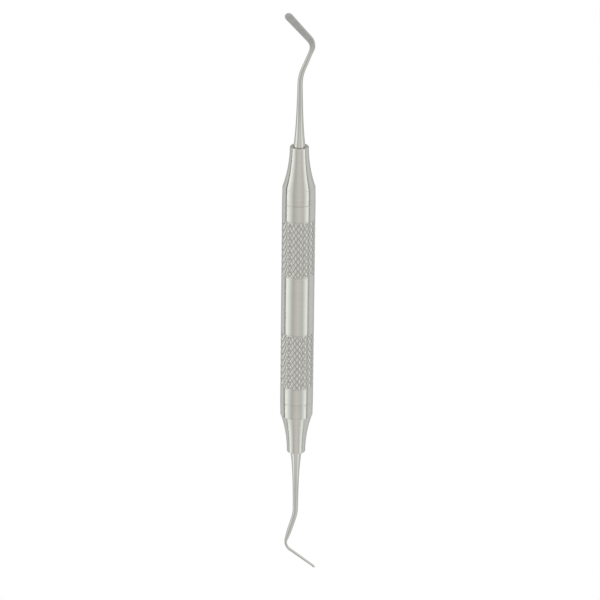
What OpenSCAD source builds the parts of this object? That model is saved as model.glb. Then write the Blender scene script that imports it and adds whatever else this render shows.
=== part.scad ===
// Double-ended dental elevator: a hollow handle tube, a turned cone pressed into each end of it,
// and a forged working end brazed into each cone. The handle lies along Y, the upper end points
// to +Y, and both working ends bend in the XY plane. Millimetres, origin at the handle's middle.

/* [Handle] */
// Outside diameter of the handle tube
handle_d = 9.525; // [8:0.125:12]
// Wall thickness of the handle tube
handle_wall = 0.7; // [0.5:0.05:1]
// Length of tube that shows between the two cones
tube_len = 62; // [58:1:90]
// Length of each grip band on the tube
grip_len = 17; // [8:0.5:18]
// Plain length of tube between a seam and the grip band
grip_gap = 5; // [3:0.5:8]
// Width of a turned groove
groove_w = 0.36; // [0.2:0.02:0.5]
// Depth of a turned groove
groove_depth = 0.14; // [0.05:0.01:0.3]
// Bevel on each side of the seam between a cone and the tube
seam_bevel = 0.13; // [0.05:0.01:0.3]

/* [Cones] */
// Length of a cone from its nose face to its seam with the tube
cone_len = 16.6; // [15:0.1:20]
// Diameter of a cone at its nose
nose_d = 5.36; // [5:0.02:6]
// Radius of the hollow flare from the nose to the skirt
flare_r = 38.5; // [37:0.5:60]
// Length of the nearly straight skirt next to the seam
skirt_len = 4.5; // [3:0.1:6]
// Difference in diameter between the two ends of the skirt
skirt_taper = 0.17; // [0:0.01:0.3]
// Rounding of the nose edge
nose_round = 0.28; // [0.1:0.02:0.4]
// Length of the spigot that is pressed into the tube
spigot_len = 8; // [5:0.5:12]
// Diameter of the hollow in the back of the spigot
hollow_d = 5.6; // [4:0.1:6.4]
// Depth of that hollow
hollow_depth = 9; // [0:0.5:10]

/* [Braze] */
// Outside diameter of the braze ring round the shank
braze_d = 3.75; // [3.6:0.05:4.6]
// Depth of the recess that the braze ring lies in
braze_recess = 0.3; // [0.3:0.05:0.8]
// Height of the braze ring in its recess
braze_h = 0.26; // [0.1:0.02:0.3]

/* [Shank] */
// Diameter of the tang inside the cone
tang_d = 3.175; // [2.5:0.025:3.3]
// Length of the tang behind the nose face
tang_len = 15; // [8:0.5:15.5]
// Diameter of the shank where it leaves the nose
shank_base_d = 3.4; // [3.3:0.05:3.7]

/* [Upper working end] */
// Distances from nose face to first bend, from first to second bend, and from second bend to tip
upper_runs = [20.8, 10.2, 11.85];
// Angle of the middle run, and of the blade on the other side of the axis
upper_angles = [22.1, 42.1];
// Centreline radius of the first and the second bend
upper_bends = [12, 3.2];
// Thinnest shank diameter
upper_neck_d = 1.2; // [1.1:0.05:1.6]
// Length over which the shank's flare dies away
upper_fade = 8.8; // [5:0.1:12]
// Blade width at its heel and just before its round end
upper_widths = [1.84, 2.26];
// Blade thickness at its heel and at its round end
upper_thick = [0.46, 0.3];
// Flattening of the shank: how far before the second bend it starts, and how far past it ends
upper_flat = [3, 1.6];

/* [Lower working end] */
// Distances from nose face to first bend, from first to second bend, and from second bend to tip
lower_runs = [20.5, 11.1, 11.7];
// Angle of the middle run, and of the blade on the other side of the axis
lower_angles = [16.8, 52];
// Centreline radius of the first and the second bend
lower_bends = [13, 3];
// Thinnest shank diameter
lower_neck_d = 1.44; // [1.1:0.05:1.6]
// Length over which the shank's flare dies away
lower_fade = 6.2; // [5:0.1:12]
// Blade width at its heel and just before its round end
lower_widths = [1.64, 1.48];
// Blade thickness at its heel and at its round end
lower_thick = [0.4, 0.26];
// Flattening of the shank: how far before the second bend it starts, and how far past it ends
lower_flat = [5.5, 2.4];

/* [Teeth] */
// Distance between the teeth along a blade's serrated side
tooth_pitch = 0.68; // [0.5:0.02:1]
// Depth of the notches along the side, and of those round the blade's end
tooth_depth = 0.06; // [0.04:0.01:0.2]
tip_tooth_depth = 0.1; // [0.04:0.01:0.2]
// Smooth length of blade between the second bend and the first tooth
heel_len = 2.6; // [2:0.1:5]

/* [Hidden] */
$fn = 96;
handle_r = handle_d / 2;
tube_bore_r = handle_r - handle_wall;
half_tube = tube_len / 2;
nose_r = nose_d / 2;
flare_len = cone_len - skirt_len;
flare_steps = 24;
tang_r = tang_d / 2;
tang_overlap = 0.4;
braze_top = braze_h - braze_recess;
// Heights above the seam of the fine turned lines: three next to the seam, and one where the
// flare meets the skirt
fine_lines = [0.55, 0.95, 1.35, skirt_len - 0.12];
fine_depth = 0.03;
fine_w = 0.12;
ring_points = 24;
shank_step = 1.1;
bend_step = 0.35;
tip_steps = 6;
// Superellipse exponent of a section: 2 is round, more is squarer
round_n = 2;
flat_n = 5;
// A working end is [runs, angles, bends, neck, fade, widths, thicknesses, flattening, edge-on or not]
upper_end = [upper_runs, upper_angles, upper_bends, upper_neck_d, upper_fade,
             upper_widths, upper_thick, upper_flat, false];
lower_end = [lower_runs, lower_angles, lower_bends, lower_neck_d, lower_fade,
             lower_widths, lower_thick, lower_flat, true];

// ---- Outlines in the half plane [radius, height] ----

// A V groove in a wall of radius r, centred on height z, going up
function groove(r, z, w, depth) = [[r, z - w / 2], [r - depth, z], [r, z + w / 2]];

// Radius of the hollow flare at a distance below the nose face
function flare_radius(below) = nose_r + flare_r - sqrt(flare_r * flare_r - below * below);

// Radius of the skirt at a height above the seam
function skirt_radius(up) = handle_r - skirt_taper / 2 * up / skirt_len;

// ---- Centreline of a working end: [x, z, heading], heading 0 along the axis, + towards +X ----

function ahead(at, run) = [at.x + run * sin(at.z), at.y + run * cos(at.z), at.z];

function turned(at, r, turn) =
    let (side = sign(turn), next = at.z + turn)
    [at.x + side * r * (cos(at.z) - cos(next)), at.y + side * r * (sin(next) - sin(at.z)), next];

function arc_len(r, turn) = r * abs(turn) * PI / 180;

// Lengths of the five stretches: straight, bend, straight, bend, straight
function stretches(e) =
    let (turn_1 = e[1][0], turn_2 = e[1][0] + e[1][1],
         cut_1 = e[2][0] * tan(turn_1 / 2), cut_2 = e[2][1] * tan(turn_2 / 2))
    [e[0][0] - cut_1, arc_len(e[2][0], turn_1), e[0][1] - cut_1 - cut_2,
     arc_len(e[2][1], turn_2), e[0][2] - cut_2];

function sum_to(list, last) = last < 0 ? 0 : list[last] + sum_to(list, last - 1);

// Point of the centreline at a distance s from the nose face
function centre(e, s) =
    let (part = stretches(e), turn_1 = e[1][0], turn_2 = -(e[1][0] + e[1][1]),
         left = [for (i = [0 : 4]) min(max(s - sum_to(part, i - 1), i == 0 ? s : 0), part[i])],
         a = ahead([0, 0, 0], left[0]), b = turned(a, e[2][0], turn_1 * left[1] / part[1]),
         c = ahead(b, left[2]), d = turned(c, e[2][1], turn_2 * left[3] / part[3]))
    ahead(d, left[4]);

// ---- Sections of a working end ----

function mix(a, b, share) = a + (b - a) * share;

function smooth(share) = let (t = min(max(share, 0), 1)) t * t * (3 - 2 * t);

function total_len(e) = sum_to(stretches(e), 4);

// Distance from the nose face to the middle of the second bend
function second_bend(e) = let (part = stretches(e)) sum_to(part, 2) + part[3] / 2;

function shank_r(e, s) = (e[3] + (shank_base_d - e[3]) * exp(-s / e[4])) / 2;

// How far the section has turned from a round shank into a flat blade, 0 to 1
function flatness(e, s) = smooth((s - second_bend(e) + e[7][0]) / (e[7][0] + e[7][1]));

// How far along the blade, 0 at the second bend to 1 where the round end starts
function blade_share(e, s) =
    min(max((s - second_bend(e)) / (round_start(e) - second_bend(e)), 0), 1);

function round_start(e) = total_len(e) - e[5][1] / 2;

// One ring of the sweep: the centreline at s, and half sizes of the toothed side, of the plain
// side and of the thickness
function ring(e, s, toothed, plain, thick, n) =
    let (at = centre(e, s), across = [-cos(at.z), 0, sin(at.z)], up = [0, -1, 0],
         wide = e[8] ? up : across, thin = e[8] ? -across : up)
    [for (i = [0 : ring_points - 1])
        let (a = 360 * (i + 0.5) / ring_points,
             u = sign(cos(a)) * pow(abs(cos(a)), 2 / n),
             v = sign(sin(a)) * pow(abs(sin(a)), 2 / n))
        [at.x, 0, at.y] + wide * u * (u > 0 ? toothed : plain) + thin * v * thick];

function shank_ring(e, s) =
    let (flat = flatness(e, s), r = shank_r(e, s),
         half = mix(r, mix(e[5][0], e[5][1], blade_share(e, s)) / 2, flat),
         thick = mix(r, mix(e[6][0], e[6][1], blade_share(e, s)) / 2, flat))
    ring(e, s, half, half, thick, mix(round_n, flat_n, flat));

// Ring number k of the toothed stretch: every second ring is a notch
function toothed_ring(e, s, k) =
    let (share = blade_share(e, s), half = mix(e[5][0], e[5][1], share) / 2,
         thick = mix(e[6][0], e[6][1], share) / 2)
    ring(e, s, half - (k % 2 == 1 ? tooth_depth : 0), half, thick, flat_n);

// Ring number k of the round end, whose teeth point outwards from its centre
function tip_ring(e, k) =
    let (a = 90 * k / tip_steps, r = e[5][1] / 2, out = r - (k % 2 == 1 ? tip_tooth_depth : 0),
         half = k == tip_steps ? r * sin(90 / tip_steps) / 3 : out * cos(a))
    ring(e, round_start(e) + out * sin(a), half, half, e[6][1] / 2, flat_n);

// Stations from one distance to another, no further apart than step
function stations(from, to, step) =
    let (n = ceil((to - from) / step)) [for (i = [0 : n - 1]) from + (to - from) * i / n];

function all_rings(e) =
    let (part = stretches(e), bend_1 = part[0], bend_2 = sum_to(part, 2),
         teeth_from = second_bend(e) + heel_len,
         teeth = 2 * floor((round_start(e) - teeth_from) / tooth_pitch),
         shank = concat(stations(braze_top, bend_1, shank_step),
                        stations(bend_1, bend_1 + part[1], bend_step * 2),
                        stations(bend_1 + part[1], bend_2 - 1, shank_step),
                        stations(bend_2 - 1, teeth_from, bend_step)))
    concat([for (s = shank) shank_ring(e, s)],
           [for (k = [0 : teeth - 1])
                toothed_ring(e, mix(teeth_from, round_start(e), k / teeth), k)],
           [for (k = [0 : tip_steps]) tip_ring(e, k)]);

// Closed skin through a list of rings with the same number of points
module skin(rings) {
    n = ring_points;
    last = len(rings) - 1;
    sides = [for (j = [0 : last - 1], i = [0 : n - 1])
        let (k = (i + 1) % n)
        [j * n + k, j * n + i, (j + 1) * n + i, (j + 1) * n + k]];
    polyhedron(points = [for (r = rings, p = r) p],
               faces = concat(sides, [[for (i = [0 : n - 1]) i]],
                              [[for (i = [n - 1 : -1 : 0]) last * n + i]]),
               convexity = 6);
}

// ---- Placing: a part drawn along +Z with its nose face at 0 goes to one end of the handle ----

module at_upper() {
    translate([0, half_tube + cone_len, 0]) rotate([-90, 0, 0]) children();
}

module at_lower() {
    rotate([0, 0, 180]) at_upper() children();
}

// ---- Shapes that both ends share ----

module cone() {
    nose_edge = [for (a = [0 : 15 : 90])
        [nose_r - nose_round + nose_round * sin(a), nose_round * (cos(a) - 1)]];
    flare = [for (i = [1 : flare_steps])
        let (below = mix(nose_round, flare_len, i / flare_steps)) [flare_radius(below), -below]];
    lines = [for (i = [len(fine_lines) - 1 : -1 : 0], p = [1, 0, -1])
        let (up = fine_lines[i])
        [skirt_radius(up) - (p == 0 ? fine_depth : 0), up - cone_len + p * fine_w / 2]];
    seam = [[skirt_radius(seam_bevel), seam_bevel - cone_len], [handle_r - seam_bevel, -cone_len]];
    spigot = [[tube_bore_r, -cone_len], [tube_bore_r, -cone_len - spigot_len]];
    inside = [[hollow_d / 2, -cone_len - spigot_len],
              [hollow_d / 2, hollow_depth - cone_len - spigot_len],
              [tang_r, hollow_depth - cone_len - spigot_len],
              [tang_r, -braze_recess], [braze_d / 2, -braze_recess], [braze_d / 2, 0]];
    rotate_extrude() polygon(concat(nose_edge, flare, lines, seam, spigot, inside));
}

module braze_ring() {
    translate([0, 0, -braze_recess]) difference() {
        cylinder(r = braze_d / 2, h = braze_h);
        translate([0, 0, -1]) cylinder(r = tang_r, h = braze_h + 2);
    }
}

module working_end(e) {
    skin(all_rings(e));
    translate([0, 0, -tang_len]) cylinder(r = tang_r, h = tang_len + tang_overlap);
}

// ---- Sub-parts ----

module handle_tube() {
    // Each grip band lies between two turned grooves, and so does the plain band in the middle
    edges = [half_tube - grip_gap, half_tube - grip_gap - grip_len];
    places = [-edges[0], -edges[1], edges[1], edges[0]];
    outside = [for (z = places, p = groove(handle_r, z, groove_w, groove_depth)) p];
    color("lightsteelblue") rotate([-90, 0, 0]) rotate_extrude() polygon(concat(
        [[tube_bore_r, -half_tube], [handle_r - seam_bevel, -half_tube],
         [handle_r, seam_bevel - half_tube]],
        outside,
        [[handle_r, half_tube - seam_bevel], [handle_r - seam_bevel, half_tube],
         [tube_bore_r, half_tube]]));
}

module upper_cone() {
    color("silver") at_upper() cone();
}

module lower_cone() {
    color("silver") at_lower() cone();
}

module upper_braze_ring() {
    color("darkkhaki") at_upper() braze_ring();
}

module lower_braze_ring() {
    color("darkkhaki") at_lower() braze_ring();
}

module upper_working_end() {
    color("gainsboro") at_upper() working_end(upper_end);
}

module lower_working_end() {
    color("gainsboro") at_lower() working_end(lower_end);
}

handle_tube();
upper_cone();
lower_cone();
upper_braze_ring();
lower_braze_ring();
upper_working_end();
lower_working_end();
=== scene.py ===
# %% [markdown]
# # A double-ended dental elevator
# The real instrument is a hollow steel handle with a turned cone pressed into each end, and a
# forged, ground working end brazed into each cone. This notebook puts the finished surfaces on it:
# the CAD model fixes every size and place, and Blender adds the fine shapes and the steel.
# All sizes are in metres here, so the helper mm() turns the maker's millimetres into metres.

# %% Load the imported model
import math

import bpy
import numpy as np
from mathutils import Matrix, Vector


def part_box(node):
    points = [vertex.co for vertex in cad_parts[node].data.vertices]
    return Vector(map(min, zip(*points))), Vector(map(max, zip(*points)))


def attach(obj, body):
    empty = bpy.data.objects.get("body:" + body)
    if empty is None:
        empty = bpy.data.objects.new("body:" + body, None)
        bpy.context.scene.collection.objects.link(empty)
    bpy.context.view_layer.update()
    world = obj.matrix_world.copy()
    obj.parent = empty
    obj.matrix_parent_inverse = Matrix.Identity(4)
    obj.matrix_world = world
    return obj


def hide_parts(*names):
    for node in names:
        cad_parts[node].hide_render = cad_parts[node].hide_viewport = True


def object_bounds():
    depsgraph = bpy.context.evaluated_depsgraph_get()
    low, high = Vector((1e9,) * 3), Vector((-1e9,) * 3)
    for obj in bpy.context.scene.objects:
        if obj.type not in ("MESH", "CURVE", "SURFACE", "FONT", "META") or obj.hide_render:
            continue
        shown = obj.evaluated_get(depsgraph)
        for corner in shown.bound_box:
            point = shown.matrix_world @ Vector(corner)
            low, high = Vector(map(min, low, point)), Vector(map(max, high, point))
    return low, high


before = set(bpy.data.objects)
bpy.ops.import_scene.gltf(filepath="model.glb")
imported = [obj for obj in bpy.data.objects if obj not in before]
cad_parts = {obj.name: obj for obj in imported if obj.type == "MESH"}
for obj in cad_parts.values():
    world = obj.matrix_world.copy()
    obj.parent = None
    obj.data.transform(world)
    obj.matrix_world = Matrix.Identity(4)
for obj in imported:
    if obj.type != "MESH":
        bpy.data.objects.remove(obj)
cad_low, cad_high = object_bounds()


def mm(value):
    """Millimetres to metres."""
    return value * 0.001


print("CAD nodes:", sorted(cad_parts))
print("CAD box in mm:", [round(side * 1000, 2) for side in cad_high - cad_low])

# %% [markdown]
# The sizes that place the pieces are measured on the CAD nodes: the handle's radius and half
# length, where a nose face is, and the radius and height of the braze. A box can't show the finer
# sizes, such as walls, grooves and bends, so those are typed below with the CAD model's values.

# %% Measure the CAD nodes
tube_low, tube_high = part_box("handle_tube")
cone_low, cone_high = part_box("upper_cone")
braze_low, braze_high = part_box("upper_braze_ring")
HANDLE_R = tube_high.x
HALF_TUBE = tube_high.y
NOSE_Y = cone_high.y
CONE_LEN = NOSE_Y - HALF_TUBE
SPIGOT_LEN = HALF_TUBE - cone_low.y
BRAZE_R = braze_high.x
BRAZE_FLOOR = braze_low.y - NOSE_Y
BRAZE_TOP = braze_high.y - NOSE_Y
print("handle radius", round(HANDLE_R * 1000, 4), "mm, nose face at", round(NOSE_Y * 1000, 2), "mm")

# %% [markdown]
# ## Writing node trees as formulas
# Node trees built in a script soon become long lists of links. The small Wire class stands for one
# output of a node. Adding, multiplying or comparing wires makes the Math node that does it, so a
# tree can be written, and read, like the formula that it is. It works in geometry trees and in
# shader trees alike, because both have the same Math node.

# %% Wires and nodes


def plug(tree, socket, value):
    """Links a wire to a socket, or sets the socket to a plain value."""
    if isinstance(value, Wire):
        tree.links.new(value.socket, socket)
    else:
        socket.default_value = value


def shown(sockets, name):
    """The socket of that name which the node's settings leave in use."""
    return next(s for s in sockets if s.name == name and s.enabled)


def add_node(tree, kind, inputs=None, **settings):
    """A new node with its settings and its inputs, which are named or numbered."""
    node = tree.nodes.new(kind)
    for name, value in settings.items():
        setattr(node, name, value)
    for name, value in (inputs or {}).items():
        socket = node.inputs[name] if isinstance(name, int) else shown(node.inputs, name)
        plug(tree, socket, value)
    return node


class Wire:
    """One output of a node, which can be added, multiplied and so on."""

    def __init__(self, node, output=0):
        self.tree = node.id_data
        self.socket = node.outputs[output] if isinstance(output, int) else shown(node.outputs, output)

    def math(self, operation, *others):
        values = dict(enumerate((self, *others)))
        return Wire(add_node(self.tree, "ShaderNodeMath", values, operation=operation))

    def __add__(self, other):
        return self.math("ADD", other)

    def __sub__(self, other):
        return self.math("SUBTRACT", other)

    def __rsub__(self, other):
        return self.math("MULTIPLY", -1.0).math("ADD", other)

    def __mul__(self, other):
        return self.math("MULTIPLY", other)

    def __truediv__(self, other):
        return self.math("DIVIDE", other)

    def ramp(self, start, end):
        """0 below start, 1 above end, and an even slope between them."""
        return ((self - start) / (end - start)).math("MAXIMUM", 0.0).math("MINIMUM", 1.0)

    def mix(self, other, share):
        """This value where share is 0, and the other where it is 1."""
        return self + (other - self) * share

    __radd__ = __add__


def join_xyz(tree, x, y, z):
    return Wire(add_node(tree, "ShaderNodeCombineXYZ", {0: x, 1: y, 2: z}))


def split_xyz(vector):
    node = add_node(vector.tree, "ShaderNodeSeparateXYZ", {0: vector})
    return Wire(node, 0), Wire(node, 1), Wire(node, 2)


def vector_math(operation, first, second, scale=False):
    """A Vector Math node; with scale, second is a number."""
    inputs = {"Vector": first, "Scale": second} if scale else {0: first, 1: second}
    return Wire(add_node(first.tree, "ShaderNodeVectorMath", inputs, operation=operation))


print("wires ready")

# %% [markdown]
# ## Geometry Nodes that stand in for the maker's machines
# A geometry tree starts with its named inputs and ends the same way each time: sharp corners are
# marked by their angle, instances are made real, and the material is set. The finished mesh is
# copied off the evaluated object, and the modifiers go, so that what is left is a plain mesh.

# %% Start, finish and run a geometry tree
SHARP_ANGLE = math.radians(12)
MERGE_DISTANCE = 1e-6


def start_tree(name, inputs):
    """A geometry tree with its inputs, given as (name, kind, value), and a wire for each."""
    tree = bpy.data.node_groups.new(name, "GeometryNodeTree")
    tree.interface.new_socket("Geometry", in_out="INPUT", socket_type="NodeSocketGeometry")
    for label, kind, value in inputs:
        socket = tree.interface.new_socket(label, in_out="INPUT", socket_type="NodeSocket" + kind)
        socket.default_value = value
    tree.interface.new_socket("Material", in_out="INPUT", socket_type="NodeSocketMaterial")
    tree.interface.new_socket("Geometry", in_out="OUTPUT", socket_type="NodeSocketGeometry")
    given = add_node(tree, "NodeGroupInput")
    names = ["Geometry", "Material"] + [label for label, _, _ in inputs]
    return tree, {label: Wire(given, label) for label in names}


def finish_tree(tree, mesh, material):
    """Smooth faces, corners sharp past an angle, real instances, and the material."""
    smooth = add_node(tree, "GeometryNodeSetShadeSmooth", {0: mesh, "Shade Smooth": True}, domain="FACE")
    angle = Wire(add_node(tree, "GeometryNodeInputMeshEdgeAngle"), "Unsigned Angle")
    sharp = {0: Wire(smooth), "Selection": angle.math("GREATER_THAN", SHARP_ANGLE), "Shade Smooth": False}
    corners = add_node(tree, "GeometryNodeSetShadeSmooth", sharp, domain="EDGE")
    real = add_node(tree, "GeometryNodeRealizeInstances", {0: Wire(corners)})
    painted = add_node(tree, "GeometryNodeSetMaterial", {"Geometry": Wire(real), "Material": material})
    add_node(tree, "NodeGroupOutput", {"Geometry": Wire(painted)})


def run_trees(name, mesh, steps):
    """Runs (tree, values) one after another on a mesh, and leaves a plain mesh object."""
    piece = bpy.data.objects.new(name, mesh)
    bpy.context.scene.collection.objects.link(piece)
    for tree, values in steps:
        modifier = piece.modifiers.new(tree.name, "NODES")
        modifier.node_group = tree
        for item in tree.interface.items_tree:
            if item.in_out == "INPUT" and item.name in values:
                modifier[item.identifier] = values[item.name]
    evaluated = piece.evaluated_get(bpy.context.evaluated_depsgraph_get())
    made = bpy.data.meshes.new_from_object(evaluated)
    piece.modifiers.clear()
    piece.data = made
    made.name = name
    bpy.data.meshes.remove(mesh)
    return piece


def describe(piece):
    """Prints a piece's size, faces and volume; a positive volume means its faces point outwards."""
    made = piece.data
    made.calc_loop_triangles()
    points = np.array([v.co for v in made.vertices])
    corners = points[np.array([t.vertices for t in made.loop_triangles])]
    volume = np.einsum("ij,ij->i", corners[:, 0], np.cross(corners[:, 1], corners[:, 2])).sum() / 6
    ends = [[round(float(v) * 1000, 2) for v in side] for side in (points.min(0), points.max(0))]
    uses = {}
    for face in made.polygons:
        for key in face.edge_keys:
            uses[key] = uses.get(key, 0) + 1
    open_edges = sum(1 for count in uses.values() if count != 2)
    print(piece.name, "from", ends[0], "to", ends[1], "mm,", len(made.loop_triangles), "triangles,",
          round(volume * 1e9, 2), "mm3,", open_edges, "open edges")


print("corners sharper than", round(math.degrees(SHARP_ANGLE)), "degrees stay sharp")

# %% [markdown]
# ### The lathe
# The handle, the cones and the braze rings are all turned, so each is an outline carried round
# the handle's axis. A Screw modifier would do that too, but a tree can close the seam and the
# poles itself: a grid gets one row for each point of the outline and one column for each step
# round, and every grid point moves to where its outline point has been turned to.

# %% Build the lathe tree
lathe, given = start_tree("lathe", [("Steps round", "Int", 96)])
rows = Wire(add_node(lathe, "GeometryNodeAttributeDomainSize", {0: given["Geometry"]}), "Point Count")
blank = add_node(lathe, "GeometryNodeMeshGrid", {
    "Size X": 1.0, "Size Y": 1.0, "Vertices X": rows, "Vertices Y": given["Steps round"] + 1})
grid_x, grid_y, _ = split_xyz(Wire(add_node(lathe, "GeometryNodeInputPosition")))
row = ((grid_x + 0.5) * (rows - 1)).math("ROUND")
outline_point = add_node(lathe, "GeometryNodeSampleIndex", {
    "Geometry": given["Geometry"], "Value": Wire(add_node(lathe, "GeometryNodeInputPosition")),
    "Index": row}, data_type="FLOAT_VECTOR", domain="POINT")
radius, along, _ = split_xyz(Wire(outline_point))
turned_by = (grid_y + 0.5) * -math.tau
place = join_xyz(lathe, radius * turned_by.math("SINE"), along, radius * turned_by.math("COSINE"))
turned = add_node(lathe, "GeometryNodeSetPosition", {0: Wire(blank), "Position": place})
closed = add_node(lathe, "GeometryNodeMergeByDistance", {0: Wire(turned), "Distance": MERGE_DISTANCE})
finish_tree(lathe, Wire(closed), given["Material"])


def outline_mesh(points):
    """An outline as a mesh of points only: x is the radius, y the place along the axis."""
    mesh = bpy.data.meshes.new("outline")
    mesh.from_pydata([(r, y, 0) for r, y in points], [], [])
    return mesh


def turn_piece(name, outline, material, steps_round, more=()):
    """Turns a closed outline, listed anticlockwise with the axis at its left, into a piece."""
    first = (lathe, {"Steps round": steps_round, "Material": material})
    piece = run_trees(name, outline_mesh(outline), [first, *more])
    describe(piece)
    return piece


print("lathe tree:", len(lathe.nodes), "nodes")

# %% [markdown]
# ### The knurling wheels
# A grip is knurled by two wheels that press crossing helical grooves into the turned tube, which
# leaves rows of small diamonds. The tree works the same way: on the tube's outside, within a
# band, each point drops by how close it is to the nearest groove of either helix. The lathe's
# rows and columns are spaced to fall on the grooves, so the diamonds come out crisp.

# %% Build the knurling tree
GROOVE_SHARE = 0.62
knurling, given = start_tree("knurling", [
    ("Diamonds round", "Float", 24.0), ("Diamond length", "Float", mm(2)),
    ("Depth", "Float", mm(0.14)), ("Groove width", "Float", GROOVE_SHARE),
    ("Band start", "Float", mm(9)), ("Band end", "Float", mm(26)), ("Outside above", "Float", mm(4.6))])
spot = Wire(add_node(knurling, "GeometryNodeInputPosition"))
x, y, z = split_xyz(spot)
outward = vector_math("NORMALIZE", join_xyz(knurling, x, 0.0, z), (0, 0, 0))
reach = (x * x + z * z).math("SQRT")
from_middle = y.math("ABSOLUTE")
around = x.math("ARCTAN2", z) / math.tau * given["Diamonds round"]
down_band = (from_middle - given["Band start"]) / given["Diamond length"]
half_groove = given["Groove width"] / 2
crossing = (around + down_band, around - down_band)
helices = [1.0 - turn.math("PINGPONG", 0.5) / half_groove for turn in crossing]
in_groove = helices[0].math("MAXIMUM", helices[1]).math("MAXIMUM", 0.0)
past_start = from_middle.math("GREATER_THAN", given["Band start"])
in_band = past_start * from_middle.math("LESS_THAN", given["Band end"])
on_outside = reach.math("GREATER_THAN", given["Outside above"])
groove = in_groove * in_band * on_outside
# The material darkens the grooves by this mask, for the oxide and dust that stay there and as painted shade
# in the hollows
marked = add_node(knurling, "GeometryNodeStoreNamedAttribute", {
    0: given["Geometry"], "Name": "groove", "Value": groove}, data_type="FLOAT", domain="POINT")
drop = groove * given["Depth"]
pressed = add_node(knurling, "GeometryNodeSetPosition", {
    0: Wire(marked), "Offset": vector_math("SCALE", outward, 0.0 - drop, scale=True)})
# Each groove runs from corner to corner of its quads, so those are split along it, the shorter way
split = add_node(knurling, "GeometryNodeTriangulate", {0: Wire(pressed), "Selection": in_band * on_outside},
                 quad_method="SHORTEST_DIAGONAL")
finish_tree(knurling, Wire(split), given["Material"])
print("knurling tree:", len(knurling.nodes), "nodes")

# %% [markdown]
# ### The forge and the grinding wheel
# A working end starts as round rod. It is tapered, bent twice, then ground flat into a blade
# whose edge is filed into teeth. So the tree sweeps a section along a path: every station of the
# path carries its own half width, half thickness and flatness, from 0 for a round rod to 1 for a
# blade with bevelled edges. Carrying these as attributes of the path keeps the tree general.

# %% Build the sweep tree
sweep, given = start_tree("sweep", [
    ("Points round", "Int", 64), ("Tooth depth", "Float", mm(0.1)),
    ("Toothed bevel reach", "Float", 0.4), ("Toothed bevel", "Float", 0.3), ("Tooth cut", "Float", 0.45),
    ("Plain bevel reach", "Float", 0.35), ("Plain bevel", "Float", 0.65), ("Bright grinding and painted light", "Float", 0.0)])
rows = Wire(add_node(sweep, "GeometryNodeAttributeDomainSize", {0: given["Geometry"]}), "Point Count")
blank = add_node(sweep, "GeometryNodeMeshGrid", {
    "Size X": 1.0, "Size Y": 1.0, "Vertices X": rows, "Vertices Y": given["Points round"] + 1})
grid_x, grid_y, _ = split_xyz(Wire(add_node(sweep, "GeometryNodeInputPosition")))
row = ((grid_x + 0.5) * (rows - 1)).math("ROUND")


def at_station(name, kind="FLOAT"):
    """What the path's station for this row carries under a name, or its place for no name."""
    if name:
        source = add_node(sweep, "GeometryNodeInputNamedAttribute", {"Name": name}, data_type=kind)
        value = Wire(source, "Attribute")
    else:
        value = Wire(add_node(sweep, "GeometryNodeInputPosition"))
    inputs = {"Geometry": given["Geometry"], "Value": value, "Index": row}
    return Wire(add_node(sweep, "GeometryNodeSampleIndex", inputs, data_type=kind, domain="POINT"))


round_share = grid_y + 0.5
angle = round_share * -math.tau
rod_wide, rod_thin = angle.math("COSINE"), angle.math("SINE")
largest = rod_wide.math("ABSOLUTE").math("MAXIMUM", rod_thin.math("ABSOLUTE"))
blade_wide = rod_wide / largest
flat_thin = rod_thin / largest
near_teeth = blade_wide.ramp(1.0 - given["Toothed bevel reach"], 1.0)
near_plain = (blade_wide * -1.0).ramp(1.0 - given["Plain bevel reach"], 1.0)
cut = at_station("cut")
thinner = near_teeth * (given["Toothed bevel"] + cut * given["Tooth cut"]) + near_plain * given["Plain bevel"]
blade_thin = flat_thin * (1.0 - thinner)
flat = at_station("flat")
wide = rod_wide.mix(blade_wide, flat) * at_station("half_wide")
wide = wide - near_teeth * cut * given["Tooth depth"] * at_station("toothed")
thin = rod_thin.mix(blade_thin, flat) * at_station("half_thick")
across = vector_math("SCALE", at_station("wide_axis", "FLOAT_VECTOR"), wide, scale=True)
upwards = vector_math("SCALE", at_station("thin_axis", "FLOAT_VECTOR"), thin, scale=True)
place = vector_math("ADD", vector_math("ADD", at_station("", "FLOAT_VECTOR"), across), upwards)
# The material follows the piece by these masks, and by a UV map of turns round and millimetres along.
# They are stored on the grid, because moving its points first would change what its rows mean.
stored = [("flat", "FLOAT", "POINT", flat),
          ("edge", "FLOAT", "POINT", near_teeth.math("MAXIMUM", near_plain) * flat),
          ("notch", "FLOAT", "POINT", near_teeth * cut * flat),
          ("tip", "FLOAT", "POINT", at_station("tip")),
          # bright marks the lower blade's brighter grinding, which the material also lifts with painted
          # light; rim marks the toothed edge, painted in shade on the lower blade
          ("bright", "FLOAT", "POINT", flat * given["Bright grinding and painted light"]),
          ("rim", "FLOAT", "POINT", near_teeth * flat),
          ("grain_uv", "FLOAT2", "CORNER", join_xyz(sweep, round_share, at_station("along"), 0.0))]
marked = Wire(blank)
for name, kind, domain, value in stored:
    inputs = {"Geometry": marked, "Name": name, "Value": value}
    marked = Wire(add_node(sweep, "GeometryNodeStoreNamedAttribute", inputs, data_type=kind, domain=domain))
shaped = Wire(add_node(sweep, "GeometryNodeSetPosition", {0: marked, "Position": place}))
closed = add_node(sweep, "GeometryNodeMergeByDistance", {0: shaped, "Distance": MERGE_DISTANCE})
finish_tree(sweep, Wire(closed), given["Material"])
print("sweep tree:", len(sweep.nodes), "nodes")

# %% [markdown]
# ## Finishes
# The whole instrument is stainless steel, and what sets its pieces apart is how each was
# finished. The turned pieces keep the lathe's fine rings, the shanks are drawn and polished
# lengthwise, the blades are ground and bead blasted, and the braze is a dull, heat-stained alloy.
# Three effects are kept apart as shader node groups: turning lines for the turned pieces,
# lengthwise grain for the working ends, and the marks of handling for both.

# %% Helpers for shader groups
MM_PER_UNIT = 1000.0


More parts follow.
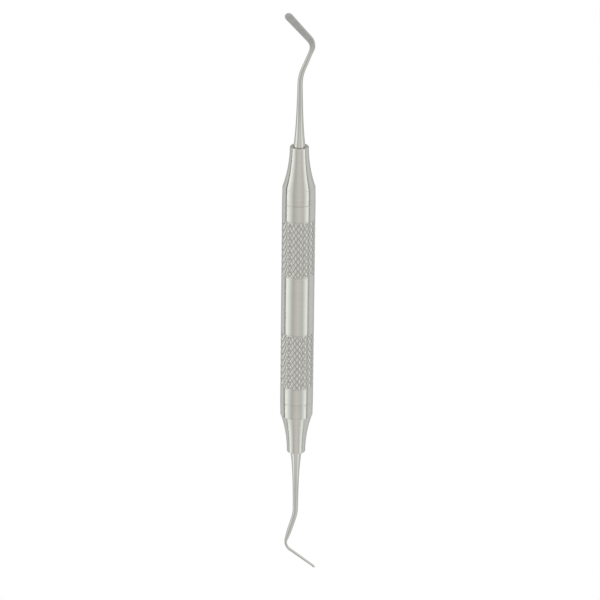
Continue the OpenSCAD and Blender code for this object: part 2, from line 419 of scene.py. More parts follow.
def start_group(name, inputs, outputs):
    """A shader node group with (name, value) inputs and number outputs, and a wire for each input."""
    tree = bpy.data.node_groups.new(name, "ShaderNodeTree")
    for label, value in inputs:
        socket = tree.interface.new_socket(label, in_out="INPUT", socket_type="NodeSocketFloat")
        socket.default_value = value
    for label in outputs:
        tree.interface.new_socket(label, in_out="OUTPUT", socket_type="NodeSocketFloat")
    given = add_node(tree, "NodeGroupInput")
    return tree, {label: Wire(given, label) for label, _ in inputs}


def object_mm(tree):
    """Object coordinates in millimetres."""
    place = Wire(add_node(tree, "ShaderNodeTexCoord"), "Object")
    return vector_math("SCALE", place, MM_PER_UNIT, scale=True)


def noise(tree, vector, scale=1.0, detail=2.0, roughness=0.5):
    """Noise that averages 0.5."""
    inputs = {"Vector": vector, "Scale": scale, "Detail": detail, "Roughness": roughness}
    return Wire(add_node(tree, "ShaderNodeTexNoise", inputs), 0)


print("1 unit is", MM_PER_UNIT, "mm")

# %% Shared effects
BANDS_ACROSS, BANDS_ALONG = 0.05, 0.9
PORES_PER_MM, PORE_DETAIL, PORE_ROUGHNESS = 14.0, 4.0, 0.7
SMUDGE_DETAIL, SMUDGE_ROUGHNESS = 4.0, 0.65
SCRATCH_TURN, SCRATCH_STRETCH, SCRATCH_WIDTH = (0.5, 0.9, 0.35), (1.0, 0.12, 1.0), 0.012
BREAKS_PER_MM, BREAK_FROM, BREAK_TO = 0.9, 0.56, 0.66
turning, given = start_group("turning lines", [("Lines per mm", 9.0), ("Wander", 0.12)], ["Lines", "Bands"])
x, y, z = split_xyz(object_mm(turning))
wander = given["Wander"]
lines = noise(turning, join_xyz(turning, x * wander, y * given["Lines per mm"], z * wander), detail=3.0)
bands = noise(turning, join_xyz(turning, x * BANDS_ACROSS, y * BANDS_ALONG, z * BANDS_ACROSS), detail=1.0)
add_node(turning, "NodeGroupOutput", {"Lines": lines, "Bands": bands})

grain, given = start_group("lengthwise grain", [("Streaks round", 40.0), ("Streaks per mm", 0.12)],
                           ["Streaks", "Pores"])
turn, along, _ = split_xyz(Wire(add_node(grain, "ShaderNodeUVMap", uv_map="grain_uv"), "UV"))
ring = [(turn * math.tau).math(side) * given["Streaks round"] / math.tau for side in ("COSINE", "SINE")]
streaks = noise(grain, join_xyz(grain, ring[0], ring[1], along * given["Streaks per mm"]), detail=3.0)
pores = noise(grain, object_mm(grain), PORES_PER_MM, PORE_DETAIL, PORE_ROUGHNESS)
add_node(grain, "NodeGroupOutput", {"Streaks": streaks, "Pores": pores})

handling, given = start_group("handling marks", [("Smudges per mm", 0.25), ("Scratches per mm", 0.5)],
                              ["Smudges", "Scratches"])
place = object_mm(handling)
smudges = noise(handling, place, given["Smudges per mm"], SMUDGE_DETAIL, SMUDGE_ROUGHNESS)
tilted = Wire(add_node(handling, "ShaderNodeMapping", {
    "Vector": place, "Rotation": SCRATCH_TURN, "Scale": SCRATCH_STRETCH}))
cells = add_node(handling, "ShaderNodeTexVoronoi", {"Vector": tilted, "Scale": given["Scratches per mm"]},
                 feature="DISTANCE_TO_EDGE")
scratches = 1.0 - Wire(cells, "Distance").ramp(0.0, SCRATCH_WIDTH)
broken = noise(handling, place, BREAKS_PER_MM).ramp(BREAK_FROM, BREAK_TO)
add_node(handling, "NodeGroupOutput", {"Smudges": smudges, "Scratches": scratches * broken})
for group in (turning, grain, handling):
    outputs = [item.name for item in group.interface.items_tree if item.in_out == "OUTPUT"]
    print(group.name, "puts out", outputs)

# %% [markdown]
# A finish is a Principled shader with a few of those effects plugged into its colour, roughness
# and normal. What is the same all over, such as how strongly the brushed look stretches
# highlights, is set on the shader's own socket. Rings round a turned piece make highlights spread
# along the piece and stay crisp round it, so the tangent goes round the Y axis, and a quarter turn
# of the anisotropy points the stretch across the rings.

# %% Start a finish
STEEL = (0.600, 0.600, 0.568)
BLASTED = (0.574, 0.600, 0.588)
QUARTER_TURN = 0.25


def place_group(tree, group, **values):
    """A shared effect in a material, with its own values, as {output name: wire}."""
    node = add_node(tree, "ShaderNodeGroup", node_tree=group)
    for name, value in values.items():
        plug(tree, node.inputs[name.replace("_", " ")], value)
    return {output.name: Wire(node, output.name) for output in node.outputs}


def start_finish(name, anisotropic=0.0):
    """A metal's material, its tree and its Principled shader."""
    material = bpy.data.materials.new(name)
    material.use_nodes = True
    tree = material.node_tree
    shader = next(n for n in tree.nodes if n.type == "BSDF_PRINCIPLED")
    shader.inputs["Metallic"].default_value = 1.0
    shader.inputs["Anisotropic"].default_value = anisotropic
    shader.inputs["Anisotropic Rotation"].default_value = QUARTER_TURN
    return material, tree, shader


def mask(tree, name):
    """A mask that the piece's mesh carries under a name."""
    return Wire(add_node(tree, "ShaderNodeAttribute", attribute_name=name), "Fac")


def shaded(tree, colour, value):
    """A colour times a number, as three wires joined."""
    return join_xyz(tree, *[value * channel for channel in colour])


def bump(tree, height, distance, strength):
    inputs = {"Height": height, "Distance": distance, "Strength": strength}
    return Wire(add_node(tree, "ShaderNodeBump", inputs), "Normal")


print("steel colour", STEEL)

# %% Turned steel for the handle and the cones
GROOVE_DIRT_AND_SHADE, GROOVE_FROM, GROOVE_TO = 0.45, 0.35, 0.95
BAND_SHADE, SCRATCH_SHADE, SMUDGE_SHADE = 0.06, 0.04, 0.05
SMUDGE_ROUGH, LINE_ROUGH, SCRATCH_ROUGH = 0.10, 0.08, 0.05
LINE_HEIGHT, SCRATCH_HEIGHT = 0.6, 0.2
TURNED_BUMP, TURNED_BUMP_STRENGTH = mm(0.004), 0.6
TURNED_STRETCH, TURNED_SMUDGES = 0.9, 0.22


def turned_steel(name, lines_per_mm, line_shade, rough):
    material, tree, shader = start_finish(name, TURNED_STRETCH)
    rings = place_group(tree, turning, Lines_per_mm=lines_per_mm)
    marks = place_group(tree, handling, Smudges_per_mm=TURNED_SMUDGES)
    lines, smudges = rings["Lines"] - 0.5, marks["Smudges"] - 0.5
    shade = 1.0 + lines * line_shade + (rings["Bands"] - 0.5) * BAND_SHADE
    shade = shade * (1.0 - marks["Scratches"] * SCRATCH_SHADE) + smudges * SMUDGE_SHADE
    # The knurl grooves are darkened for their oxide and dust, and with painted shade in the hollows
    shade = shade * (1.0 - mask(tree, "groove").ramp(GROOVE_FROM, GROOVE_TO) * GROOVE_DIRT_AND_SHADE)
    plug(tree, shader.inputs["Base Color"], shaded(tree, STEEL, shade))
    roughness = rough + smudges * SMUDGE_ROUGH + lines * LINE_ROUGH
    plug(tree, shader.inputs["Roughness"], roughness + marks["Scratches"] * SCRATCH_ROUGH)
    height = rings["Lines"] * LINE_HEIGHT - marks["Scratches"] * SCRATCH_HEIGHT
    plug(tree, shader.inputs["Normal"], bump(tree, height, TURNED_BUMP, TURNED_BUMP_STRENGTH))
    round_axis = add_node(tree, "ShaderNodeTangent", direction_type="RADIAL", axis="Y")
    plug(tree, shader.inputs["Tangent"], Wire(round_axis))
    return material


handle_steel = turned_steel("satin handle steel", 7.0, 0.10, 0.24)
cone_steel = turned_steel("turned cone steel", 9.0, 0.12, 0.20)
print("made", handle_steel.name, "and", cone_steel.name)

# %% Ground and blasted steel for the working ends
BLADE_STREAKS_ROUND, BLADE_SMUDGES = 26.0, 0.8
SHANK_STREAK = 0.30
BLADE_LEVEL, STREAK_SHARE, PORE_SHADE, CLOUD_SHADE = 0.72, 0.45, 0.36, 0.30
SPECK_SHADE, SPECK_FROM, SPECK_TO = 0.20, 0.64, 0.72
BEVEL_FROM, BEVEL_TO = 0.02, 0.12
# Painted highlights on the bevels, besides their ground finish, and at the tip; painted shade in the file-cut
# notches
BEVEL_FINISH_AND_HIGHLIGHT, NOTCH_PAINTED_SHADE, TIP_PAINTED_HIGHLIGHT = 0.11, 0.30, 0.14
# On the lower blade: painted light on the brightly ground face, painted shade on the toothed rim, and a
# painted dark reflection before the tip
BRIGHT_FACE_PAINTED_LIGHT, RIM_PAINTED_SHADE, TIP_REFLECTION_DARK = 0.34, 0.46, 0.5
TIP_REFLECTION_START, TIP_REFLECTION_END = (0.02, 0.20), (0.30, 0.50)
SHANK_LEVEL, SHANK_FALL, FALL_FROM, FALL_TO = 1.04, 0.17, 3.0, 12.0


def blade_shading(tree, effects, marks):
    """How light the blade is: its texture, its ground edges with a painted highlight, painted shade in the
    notches, a painted highlight at the tip, and the bright grinding, whose colour lift is painted light, with
    painted shade on the toothed rim and a painted dark reflection before the tip.
    """
    tip = mask(tree, "tip")
    bevel = mask(tree, "edge").ramp(BEVEL_FROM, BEVEL_TO)
    streaks = (effects["Streaks"] - 0.5) * SHANK_STREAK * STREAK_SHARE
    clouds = (marks["Smudges"] - 0.5) * CLOUD_SHADE
    specks = effects["Pores"].ramp(SPECK_FROM, SPECK_TO) * SPECK_SHADE
    shade = BLADE_LEVEL + streaks + (effects["Pores"] - 0.5) * PORE_SHADE + clouds - specks
    # The bevels are lighter for their ground finish and with a painted highlight, the notches get painted
    # shade, and the tip a painted highlight
    shade = shade + bevel * BEVEL_FINISH_AND_HIGHLIGHT - mask(tree, "notch") * NOTCH_PAINTED_SHADE + tip * TIP_PAINTED_HIGHLIGHT
    # A painted dark reflection on the toothed rim of the lower blade, just before the tip
    tip_reflection = tip.ramp(*TIP_REFLECTION_START) * (1.0 - tip.ramp(*TIP_REFLECTION_END))
    # The toothed rim of the lower blade is painted in shade
    dark = mask(tree, "rim") * (RIM_PAINTED_SHADE + tip_reflection * TIP_REFLECTION_DARK)
    # Where the blade is ground bright, its colour is lifted by painted light, standing in for the brighter
    # reflection on its upright face
    return shade + mask(tree, "bright") * (BRIGHT_FACE_PAINTED_LIGHT - dark)


def shank_shading(tree, effects):
    """How light the shank is, a little darker away from the nose."""
    _, along, _ = split_xyz(Wire(add_node(tree, "ShaderNodeUVMap", uv_map="grain_uv"), "UV"))
    streaks = (effects["Streaks"] - 0.5) * SHANK_STREAK
    return SHANK_LEVEL - along.ramp(FALL_FROM, FALL_TO) * SHANK_FALL + streaks


print("shade of the blade", BLADE_LEVEL, "and of the shank", SHANK_LEVEL, "times plain steel")

# %% Put the blade and shank finish together
SHANK_ROUGH, CLOUD_ROUGH, STREAK_ROUGH = 0.09, 0.10, 0.2
BLADE_ROUGH, BEVEL_SMOOTH, PORE_ROUGH, BRIGHT_SMOOTH = 0.47, 0.12, 0.3, 0.17
SHANK_HEIGHT, BLADE_HEIGHT = 0.10, 0.4
BLADE_BUMP, BLADE_BUMP_STRENGTH = mm(0.03), 0.5


def blade_steel_finish(name):
    material, tree, shader = start_finish(name)
    effects = place_group(tree, grain, Streaks_round=BLADE_STREAKS_ROUND)
    marks = place_group(tree, handling, Smudges_per_mm=BLADE_SMUDGES)
    flat, bright = mask(tree, "flat"), mask(tree, "bright")
    bevel = mask(tree, "edge").ramp(BEVEL_FROM, BEVEL_TO)
    blasted = flat * (1.0 - bright)
    tints = [blasted * (blade - shank) + shank for shank, blade in zip(STEEL, BLASTED)]
    shade = shank_shading(tree, effects).mix(blade_shading(tree, effects, marks), flat)
    plug(tree, shader.inputs["Base Color"], join_xyz(tree, *[tint * shade for tint in tints]))
    clouds, pores = marks["Smudges"] - 0.5, effects["Pores"] - 0.5
    streaks = (effects["Streaks"] - 0.5) * SHANK_STREAK
    shank_rough = SHANK_ROUGH + clouds * CLOUD_ROUGH + streaks * STREAK_ROUGH
    blade_rough = BLADE_ROUGH - bevel * BEVEL_SMOOTH + pores * PORE_ROUGH - bright * BRIGHT_SMOOTH
    plug(tree, shader.inputs["Roughness"], shank_rough.mix(blade_rough, flat))
    blade_height = effects["Pores"] + effects["Streaks"] * BLADE_HEIGHT
    height = (effects["Streaks"] * SHANK_HEIGHT).mix(blade_height, flat)
    plug(tree, shader.inputs["Normal"], bump(tree, height, BLADE_BUMP, BLADE_BUMP_STRENGTH))
    return material


blade_steel = blade_steel_finish("ground blade steel")
print("made", blade_steel.name)

# %% Heat-stained braze
BRAZE_LIGHT, BRAZE_DARK = (0.700, 0.620, 0.380), (0.340, 0.285, 0.170)
PATCHES_PER_MM, PATCH_FROM, PATCH_TO = 1.1, 0.40, 0.62
GRIT_PER_MM, BRAZE_ROUGH, GRIT_ROUGH = 9.0, 0.42, 0.4
BRAZE_BUMP, BRAZE_BUMP_STRENGTH = mm(0.03), 0.7


def braze_finish(name):
    material, tree, shader = start_finish(name)
    place = object_mm(tree)
    patches = noise(tree, place, PATCHES_PER_MM, detail=4.0, roughness=0.6).ramp(PATCH_FROM, PATCH_TO)
    grit = noise(tree, place, GRIT_PER_MM, detail=3.0)
    channels = [patches * (light - dark) + dark for light, dark in zip(BRAZE_LIGHT, BRAZE_DARK)]
    plug(tree, shader.inputs["Base Color"], join_xyz(tree, *channels))
    plug(tree, shader.inputs["Roughness"], BRAZE_ROUGH + (grit - 0.5) * GRIT_ROUGH)
    plug(tree, shader.inputs["Normal"], bump(tree, grit, BRAZE_BUMP, BRAZE_BUMP_STRENGTH))
    return material


braze_alloy = braze_finish("heat-stained braze")
print("made", braze_alloy.name)

# %% [markdown]
# ## The handle tube
# The tube is one turned piece: a bore, bevelled ends, four V grooves and two knurled grips
# between them. Its outline gets many rows where the knurling falls, one for each eighth of a
# diamond, and only a few elsewhere, so the detail is spent where it shows.

# %% Turn and knurl the handle tube
TUBE_WALL = mm(0.7)
SEAM_BEVEL = mm(0.13)
GROOVE_WIDTH, GROOVE_DEPTH = mm(0.36), mm(0.14)
GRIP_LENGTH, GRIP_GAP = mm(17), mm(5)
DIAMONDS_ROUND = 24
DIAMOND_LENGTH = mm(2)
STEPS_PER_DIAMOND = 8
grip_end = HALF_TUBE - GRIP_GAP
grip_start = grip_end - GRIP_LENGTH
row_gap = DIAMOND_LENGTH / STEPS_PER_DIAMOND
knurl_margin = GROOVE_WIDTH


def v_groove(middle, surface, width, depth):
    """Four outline points of a V groove, with a small flat at its floor."""
    floor = surface - depth
    return [(surface, middle - width / 2), (floor, middle - width / 8), (floor, middle + width / 8),
            (surface, middle + width / 2)]


knurl_start = grip_start + knurl_margin
knurl_rows = int((grip_end - knurl_margin - knurl_start) / row_gap)
knurl_end = knurl_start + knurl_rows * row_gap
upper_half = [(HANDLE_R, knurl_start + row * row_gap) for row in range(knurl_rows + 1)]
upper_half = v_groove(grip_start, HANDLE_R, GROOVE_WIDTH, GROOVE_DEPTH) + upper_half
upper_half += v_groove(grip_end, HANDLE_R, GROOVE_WIDTH, GROOVE_DEPTH)
upper_half += [(HANDLE_R, HALF_TUBE - SEAM_BEVEL * 2), (HANDLE_R, HALF_TUBE - SEAM_BEVEL),
               (HANDLE_R - SEAM_BEVEL, HALF_TUBE), (HANDLE_R - TUBE_WALL, HALF_TUBE)]
lower_half = [(r, -y) for r, y in reversed(upper_half)]
knurl_values = {
    "Diamonds round": float(DIAMONDS_ROUND), "Diamond length": DIAMOND_LENGTH, "Depth": GROOVE_DEPTH,
    "Groove width": GROOVE_SHARE, "Outside above": HANDLE_R - TUBE_WALL / 2, "Material": handle_steel,
    "Band start": knurl_start - row_gap / 2, "Band end": knurl_end + row_gap / 2}
handle = turn_piece("knurled_handle_tube", lower_half + upper_half + lower_half[:1], handle_steel,
                    DIAMONDS_ROUND * STEPS_PER_DIAMOND, [(knurling, knurl_values)])

# %% [markdown]
# ## The two cones
# Each cone is turned in one chucking: a small rounded rim at the nose, a long hollow flare cut on
# one radius, a nearly straight skirt with three fine lines by the seam and one more where the
# flare meets it, and a spigot that is pressed into the tube. The lower cone is the same piece
# turned half round, made by swapping the sign of Y and reversing the outline so that its faces
# still point outwards.

# %% Turn the cones
NOSE_R = mm(2.68)
NOSE_ROUND = mm(0.28)
FLARE_RADIUS = mm(38.5)
SKIRT_LEN, SKIRT_TAPER = mm(4.5), mm(0.17)
FINE_LINES = [mm(0.55), mm(0.95), mm(1.35), SKIRT_LEN - mm(0.12)]
FINE_WIDTH, FINE_DEPTH = mm(0.12), mm(0.03)
TANG_R = mm(1.5875)
HOLLOW_R, HOLLOW_DEPTH = mm(2.8), mm(9)
FLARE_STEPS, NOSE_STEPS = 48, 12
STEPS_ROUND = 144


def flare_r(below):
    """Radius of the hollow flare at a distance below the nose face."""
    return NOSE_R + FLARE_RADIUS - math.sqrt(FLARE_RADIUS ** 2 - below ** 2)


def skirt_r(up):
    """Radius of the skirt at a height above the seam."""
    return HANDLE_R - SKIRT_TAPER / 2 * up / SKIRT_LEN


def cone_outline():
    """The outline from the spigot's back, up the outside to the nose and down the hole, closed."""
    back = HALF_TUBE - SPIGOT_LEN
    bore_r = HANDLE_R - TUBE_WALL
    flare_len = CONE_LEN - SKIRT_LEN
    points = [(HOLLOW_R, back), (bore_r, back), (bore_r, HALF_TUBE), (HANDLE_R - SEAM_BEVEL, HALF_TUBE),
              (skirt_r(SEAM_BEVEL), HALF_TUBE + SEAM_BEVEL), (skirt_r(0), HALF_TUBE + SEAM_BEVEL * 2)]
    for up in FINE_LINES:
        points += v_groove(HALF_TUBE + up, skirt_r(up), FINE_WIDTH, FINE_DEPTH)
    for step in range(FLARE_STEPS + 1):
        below = flare_len + (NOSE_ROUND - flare_len) * step / FLARE_STEPS
        points.append((flare_r(below), NOSE_Y - below))
    for step in range(NOSE_STEPS + 1):
        turn = math.pi / 2 * step / NOSE_STEPS
        points.append((NOSE_R - NOSE_ROUND + NOSE_ROUND * math.cos(turn),
                       NOSE_Y - NOSE_ROUND + NOSE_ROUND * math.sin(turn)))
    points += [(BRAZE_R, NOSE_Y), (BRAZE_R, NOSE_Y + BRAZE_FLOOR), (TANG_R, NOSE_Y + BRAZE_FLOOR),
               (TANG_R, back + HOLLOW_DEPTH), (HOLLOW_R, back + HOLLOW_DEPTH), (HOLLOW_R, back)]
    return points


def other_end(outline):
    """The same outline for the lower end."""
    return [(r, -y) for r, y in reversed(outline)]


upper_cone = turn_piece("upper_turned_cone", cone_outline(), cone_steel, STEPS_ROUND)
lower_cone = turn_piece("lower_turned_cone", other_end(cone_outline()), cone_steel, STEPS_ROUND)

# %% [markdown]
# ## The braze
# Silver braze fills the ring-shaped gap between shank and cone and sets a little below the nose
# face. Molten braze wets both walls, so its top is hollow: highest at the walls and lowest
# between them. It is a lathe piece too, with that curve as the top of its outline.

# %% Turn the braze rings
BRAZE_STEPS = 8
BRAZE_SAG = mm(0.05)


def braze_outline():
    floor, top = NOSE_Y + BRAZE_FLOOR, NOSE_Y + BRAZE_TOP
    points = [(TANG_R, floor), (BRAZE_R, floor)]
    for step in range(BRAZE_STEPS + 1):
        share = step / BRAZE_STEPS
        points.append((BRAZE_R + (TANG_R - BRAZE_R) * share, top - BRAZE_SAG * math.sin(math.pi * share)))
    return points + points[:1]


upper_braze = turn_piece("upper_braze_fillet", braze_outline(), braze_alloy, STEPS_ROUND)
lower_braze = turn_piece("lower_braze_fillet", other_end(braze_outline()), braze_alloy, STEPS_ROUND)

# %% [markdown]
# ## The working ends
# A working end's path is five stretches: straight out of the nose, a slow bend, a straight, a
# tight bend the other way, and the blade. The path is worked out from the length of each run and
# the angle of each bend, as a bender would set it up. The upper blade lies flat in the plane of
# the bends; the lower one stands on edge to it, like a tiny spade seen from the side.

# %% Path of a working end


def unit(value):
    """The value, held between 0 and 1."""
    return min(max(value, 0.0), 1.0)


def between(pair, share):
    """The first of the pair where share is 0, and the second where it is 1."""
    return pair[0] + (pair[1] - pair[0]) * share


class WorkingEnd:
    """The sizes of one working end, in millimetres and degrees."""

    def __init__(self, runs, angles, bends, neck, fade, widths, thick, flat_from, flat_to, on_edge):
        self.angles, self.bends = angles, bends
        self.neck, self.fade = neck, fade
        self.widths, self.thick = widths, thick
        self.on_edge = on_edge
        turns = [math.radians(angles[0]), math.radians(angles[0] + angles[1])]
        self.turns = [turns[0], -turns[1]]
        cuts = [radius * math.tan(turn / 2) for radius, turn in zip(bends, turns)]
        arcs = [radius * turn for radius, turn in zip(bends, turns)]
        self.stretches = [runs[0] - cuts[0], arcs[0], runs[1] - cuts[0] - cuts[1], arcs[1], runs[2] - cuts[1]]
        self.length = sum(self.stretches)
        self.second_bend = sum(self.stretches[:3]) + arcs[1] / 2
        self.flat_span = (self.second_bend - flat_from, self.second_bend + flat_to)
        self.round_start = self.length - widths[1] / 2

    def centre(self, s):
        """Sideways place, place along the axis, and heading in radians, at a distance from the nose."""
        side, ahead, heading, left = 0.0, 0.0, 0.0, s
        for number, stretch in enumerate(self.stretches):
            run = min(left, stretch)
            if number > 0:
                run = max(run, 0.0)
            if number in (1, 3):
                bend = 0 if number == 1 else 1
                radius = self.bends[bend] * (1 if self.turns[bend] > 0 else -1)
                after = heading + run / radius
                side += radius * (math.cos(heading) - math.cos(after))
                ahead += radius * (math.sin(after) - math.sin(heading))
                heading = after
            else:
                side += run * math.sin(heading)
                ahead += run * math.cos(heading)
            left -= run
        return side, ahead, heading

    def flat(self, s):
        """0 on the round shank, 1 on the flat blade, and a smooth change between."""
        share = unit((s - self.flat_span[0]) / (self.flat_span[1] - self.flat_span[0]))
        return share * share * (3 - 2 * share)

    def section(self, s):
        """Half width and half thickness."""
        share = unit((s - self.second_bend) / (self.round_start - self.second_bend))
        radius = (self.neck + (SHANK_BASE - self.neck) * math.exp(-s / self.fade)) / 2
        wide = between(self.widths, share) / 2
        thin = between(self.thick, share) / 2
        flat = self.flat(s)
        return radius + (wide - radius) * flat, radius + (thin - radius) * flat


SHANK_BASE = 3.4
upper_end = WorkingEnd(runs=(20.8, 10.2, 11.85), angles=(22.1, 42.1), bends=(12, 3.2), neck=1.2, fade=8.8,
                       widths=(1.84, 2.26), thick=(0.46, 0.3), flat_from=3, flat_to=1.6, on_edge=False)
lower_end = WorkingEnd(runs=(20.5, 11.1, 11.7), angles=(16.8, 52), bends=(13, 3), neck=1.44, fade=6.2,
                       widths=(1.64, 1.48), thick=(0.4, 0.26), flat_from=5.5, flat_to=2.4, on_edge=True)
for name, end in (("upper", upper_end), ("lower", lower_end)):
    print(name, "end:", round(end.length, 2), "mm of steel past the nose, blade from",
          round(end.second_bend, 2), "mm")

# %% [markdown]
# The teeth are filed one by one across the edge, so each notch is a V and the steel between two
# notches keeps a flat crest. A station of the path says how deep the file has cut there, from 0
# to 1. Round the tip the teeth are rounded, and they go by the angle about the tip's centre.

# %% Stations along a working end
TOOTH_PITCH = 0.68
TOOTH_DEPTH, TIP_TOOTH_DEPTH = 0.06, 0.1
HEEL = 2.6
TANG_LEN = 15.0
STATION_GAP, BEND_GAP = 0.6, 0.09
STATIONS_PER_TOOTH = 10
TIP_TEETH = 3
TIP_BEVEL, TIP_BEVEL_REACH = 0.45, 0.4
NOTCH_SHARE = 0.32
TIP_GRIND = 1.3


def spread(start, end, gap):
    """Even stations from start, and none at end."""
    count = max(1, math.ceil((end - start) / gap))
    return [start + (end - start) * number / count for number in range(count)]


def file_cut(phase):
    """How deep the file has cut: 0 on a tooth's flat crest, 1 in the notch halfway to the next."""
    return max(0.0, 1.0 - abs(phase % 1 - 0.5) / NOTCH_SHARE)


def scallop(phase):
    """The same round the tip, where the teeth are rounded."""
    return 1.0 - abs(math.cos(math.pi * phase))


def stations(end):
    """Every station as (distance, half width, half thickness, flatness, file cut, toothed side)."""
    tang = TANG_R / mm(1)
    skin = BRAZE_TOP / mm(1)
    found = [(-TANG_LEN, 0, 0, 0, 0, 0), (-TANG_LEN, tang, tang, 0, 0, 0), (skin, tang, tang, 0, 0, 0)]
    bends = [sum(end.stretches[:1]), sum(end.stretches[:2]), end.flat_span[0], end.flat_span[1]]
    teeth_from = end.second_bend + HEEL
    plain = spread(skin, bends[0], STATION_GAP) + spread(bends[0], bends[1], BEND_GAP * 3)
    plain += spread(bends[1], bends[2], STATION_GAP) + spread(bends[2], teeth_from, BEND_GAP)
    found += [(s, *end.section(s), end.flat(s), 0, 1) for s in plain]
    teeth = math.floor((end.round_start - teeth_from) / TOOTH_PITCH)
    for number in range(teeth * STATIONS_PER_TOOTH):
        phase = number / STATIONS_PER_TOOTH
        s = teeth_from + (end.round_start - teeth_from) * phase / teeth
        found.append((s, *end.section(s), end.flat(s), file_cut(phase), 1))
    half, thin = end.section(end.round_start)
    steps = TIP_TEETH * STATIONS_PER_TOOTH
    for number in range(steps):
        turn = math.pi / 2 * number / steps
        out = half - TIP_TOOTH_DEPTH * scallop(TIP_TEETH * number / steps)
        reach = out * math.sin(turn)
        rim = unit(1 - (half - reach) / TIP_BEVEL_REACH)
        found.append((end.round_start + reach, out * math.cos(turn), thin * (1 - TIP_BEVEL * rim), 1, 0, 0))
    found.append((end.length, 0, 0, 1, 0, 0))
    return found


def path_mesh(end, upper):
    """The stations as a mesh of points in the row frame, each with what the sweep needs."""
    side_sign = 1 if upper else -1
    places, values = [], {name: [] for name in ("wide_axis", "thin_axis", "along", "half_wide",
                                                "half_thick", "flat", "cut", "toothed", "tip")}
    for s, wide, thick, flat, cut, toothed in stations(end):
        side, ahead, heading = end.centre(s)
        left = (-math.cos(heading) * side_sign, math.sin(heading) * side_sign, 0.0)
        places.append((mm(side) * side_sign, (NOSE_Y + mm(ahead)) * side_sign, 0.0))
        values["wide_axis"].append((0.0, 0.0, 1.0) if end.on_edge else left)
        values["thin_axis"].append(tuple(-v for v in left) if end.on_edge else (0.0, 0.0, 1.0))
        tip = unit(1 - (end.length - s) / TIP_GRIND)
        for name, value in (("along", s), ("half_wide", mm(wide)), ("half_thick", mm(thick)),
                            ("flat", flat), ("cut", cut), ("toothed", toothed), ("tip", tip)):
            values[name].append(float(value))
    mesh = bpy.data.meshes.new("path")
    mesh.from_pydata(places, [], [])
    for name, column in values.items():
        kind, field = ("FLOAT_VECTOR", "vector") if name.endswith("axis") else ("FLOAT", "value")
        attribute = mesh.attributes.new(name, kind, "POINT")
        attribute.data.foreach_set(field, np.array(column, np.float32).ravel())
    return mesh


for name, end in (("upper", upper_end), ("lower", lower_end)):
    print(name, "end:", len(stations(end)), "stations")

# %% Sweep the working ends
POINTS_ROUND = 64


def working_end(name, end, upper):
    values = {"Points round": POINTS_ROUND, "Tooth depth": mm(TOOTH_DEPTH), "Material": blade_steel,
              "Bright grinding and painted light": 1.0 if end.on_edge else 0.0}
    piece = run_trees(name, path_mesh(end, upper), [(sweep, values)])
    describe(piece)
    return piece


upper_blade = working_end("upper_shank_and_blade", upper_end, True)
lower_blade = working_end("lower_shank_and_blade", lower_end, False)

# %% [markdown]
# ## Riding on the CAD frame
# Nothing on this instrument moves by itself, so every piece rides on the one body, root. Each also names the
# CAD node that it stands for, which is hidden.

# %% Ride and replace every piece
for piece, node, slot in (
        (handle, "handle_tube", "handle_steel"),
        (upper_cone, "upper_cone", "cone_steel"), (lower_cone, "lower_cone", "cone_steel"),
        (upper_braze, "upper_braze_ring", "braze"), (lower_braze, "lower_braze_ring", "braze"),
        (upper_blade, "upper_working_end", "blade_steel"), (lower_blade, "lower_working_end", "blade_steel")):
    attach(piece, "root")
    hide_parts(node)
    print(piece.name, "stands for", node)

# %% [markdown]
# ## Floor and light
# Small polished things are shot inside a light tent, a white tube of cloth open towards the
# camera, on a white sweep. Polished steel shows nothing but what is round it, so the tent's
# brightness by direction is what models the steel: soft and a little warm straight above, dimmer
# on each shoulder, and brightest at both sides, with one dark seam past the right side. The
# world does this by the angle about the handle's axis. The floor stays plain white to the camera;
# to reflections it is a lit card under the instrument, darker in the instrument's own shade and
# past the card's left edge.

# %% The light tent
WARM, PALE = (1.06, 1.0, 0.955), (1.0, 1.0, 0.975)
COOL, NEUTRAL, SEAM = (0.99, 1.0, 0.995), (1.0, 1.0, 0.99), (0.88, 1.0, 0.95)
TENT = [  # angle from straight above in degrees, brightness, and tint
    (-180, 0.8, NEUTRAL), (-120, 0.8, NEUTRAL),  # the underside, left of straight down
    (-90, 1.6, PALE),  # the bright left side
    (-35, 0.65, COOL),  # the dim left shoulder
    (0, 0.85, WARM),  # the warm, soft top
    (35, 0.75, COOL),  # the dim right shoulder
    (70, 1.5, PALE),  # the bright right side
    (75, 0.4, SEAM), (80, 0.4, SEAM),  # the dark seam
    (85, 0.8, NEUTRAL), (180, 0.8, NEUTRAL)]  # the underside, right of straight down
TENT_LEVEL = 2.0
TENT_END, END_FROM, END_TO = (0.42, 0.42, 0.41, 1), 0.86, 1.0
world = bpy.data.worlds.new("light tent")
bpy.context.scene.world = world
world.use_nodes = True
tent = world.node_tree
tent.nodes.clear()
x, y, z = split_xyz(Wire(add_node(tent, "ShaderNodeTexCoord"), "Generated"))
from_top = (x.math("ARCTAN2", z) + math.pi) / math.tau
ramp = add_node(tent, "ShaderNodeValToRGB", {0: from_top})
ramp.color_ramp.interpolation = "LINEAR"
while len(ramp.color_ramp.elements) < len(TENT):
    ramp.color_ramp.elements.new(1.0)
for element, (degrees, level, tint) in zip(ramp.color_ramp.elements, TENT):
    element.position = (degrees + 180) / 360
    element.color = (*[level * channel / TENT_LEVEL for channel in tint], 1)
is_camera = Wire(add_node(tent, "ShaderNodeLightPath"), "Is Camera Ray")
ends = y.math("ABSOLUTE").ramp(END_FROM, END_TO)
glow = add_node(tent, "ShaderNodeMix", {0: ends, 6: Wire(ramp, "Color"), 7: TENT_END},
                data_type="RGBA")
seen = add_node(tent, "ShaderNodeBackground", {"Color": (1, 1, 1, 1), "Strength": 1.0})
lit = add_node(tent, "ShaderNodeBackground", {"Color": Wire(glow, 2), "Strength": TENT_LEVEL})
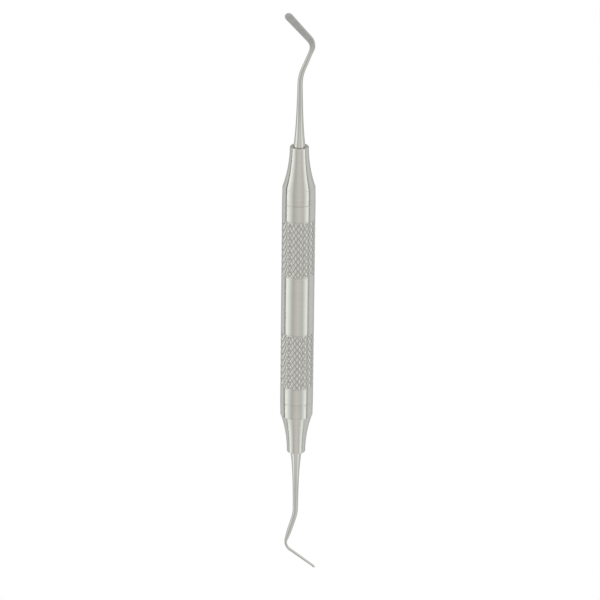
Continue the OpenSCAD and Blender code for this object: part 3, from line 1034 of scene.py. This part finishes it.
both = add_node(tent, "ShaderNodeMixShader", {0: is_camera, 1: Wire(lit), 2: Wire(seen)})
add_node(tent, "ShaderNodeOutputWorld", {"Surface": Wire(both)})
print("tent brightness from", min(t[1] for t in TENT), "to", max(t[1] for t in TENT))

# %% The floor
FLOOR_HALF = 3.0
CARD_LEVEL, CARD_EDGE, CARD_FADE = 0.84, mm(32), mm(16)
ROOM_LEVEL = 0.22
SHADE_FROM, SHADE_TO, SHADE_DEPTH = mm(5), mm(15), 0.35
SHADE_END, SHADE_FADE = mm(60), mm(16)
floor_mesh = bpy.data.meshes.new("floor")
corners = [(-1, -1), (1, -1), (1, 1), (-1, 1)]
floor_mesh.from_pydata([(a * FLOOR_HALF, b * FLOOR_HALF, -HANDLE_R) for a, b in corners], [], [(0, 1, 2, 3)])
floor = bpy.data.objects.new("white_sweep", floor_mesh)
bpy.context.scene.collection.objects.link(floor)
paper = bpy.data.materials.new("white sweep")
paper.use_nodes = True
paper.node_tree.nodes.clear()
sheet = paper.node_tree
x, y, _ = split_xyz(Wire(add_node(sheet, "ShaderNodeTexCoord"), "Object"))
off_card = (x * -1.0).ramp(CARD_EDGE, CARD_EDGE + CARD_FADE)
in_shade = 1.0 - x.math("ABSOLUTE").ramp(SHADE_FROM, SHADE_TO)
in_shade = in_shade * (1.0 - y.math("ABSOLUTE").ramp(SHADE_END, SHADE_END + SHADE_FADE))
card_level = (CARD_LEVEL - off_card * (CARD_LEVEL - ROOM_LEVEL)) * (1.0 - in_shade * SHADE_DEPTH)
is_camera = Wire(add_node(sheet, "ShaderNodeLightPath"), "Is Camera Ray")
white = add_node(sheet, "ShaderNodeEmission", {"Strength": card_level + (1.0 - card_level) * is_camera})
add_node(sheet, "ShaderNodeOutputMaterial", {"Surface": Wire(white)})
paper.cycles.emission_sampling = "NONE"
floor_mesh.materials.append(paper)
print("floor at", round(-HANDLE_R * 1000, 3), "mm")

# %% [markdown]
# ## Camera
# The camera looks down on the lying instrument, tipped towards its upper end, so that its collars
# show as ellipses. The upper end points up in the frame, and a touch of roll makes the handle
# lean a little to the right. A long lens keeps the two ends nearly the same size.

# %% Place the camera
TILT = math.radians(23.5)
ROLL = math.radians(0.66)
FOCAL_MM, SENSOR_MM = 200.0, 36.0
FRAME_HEIGHT = mm(172)
CLIP_NEAR, CLIP_FAR = 0.01, 20.0
camera_data = bpy.data.cameras.new("camera")
camera_data.lens, camera_data.sensor_width = FOCAL_MM, SENSOR_MM
camera = bpy.data.objects.new("camera", camera_data)
bpy.context.scene.collection.objects.link(camera)
bpy.context.scene.camera = camera
middle = (cad_low + cad_high) / 2
towards = Vector((0, math.sin(TILT), math.cos(TILT)))
distance = FRAME_HEIGHT * FOCAL_MM / SENSOR_MM
camera.location = middle + towards * distance
tip_back, roll = Matrix.Rotation(-TILT, 3, "X"), Matrix.Rotation(ROLL, 3, "Z")
camera.rotation_euler = (tip_back @ roll).to_euler()
camera_data.clip_start, camera_data.clip_end = CLIP_NEAR, CLIP_FAR
bpy.context.scene.view_settings.view_transform = "Standard"
print("camera", round(distance, 3), "m away")
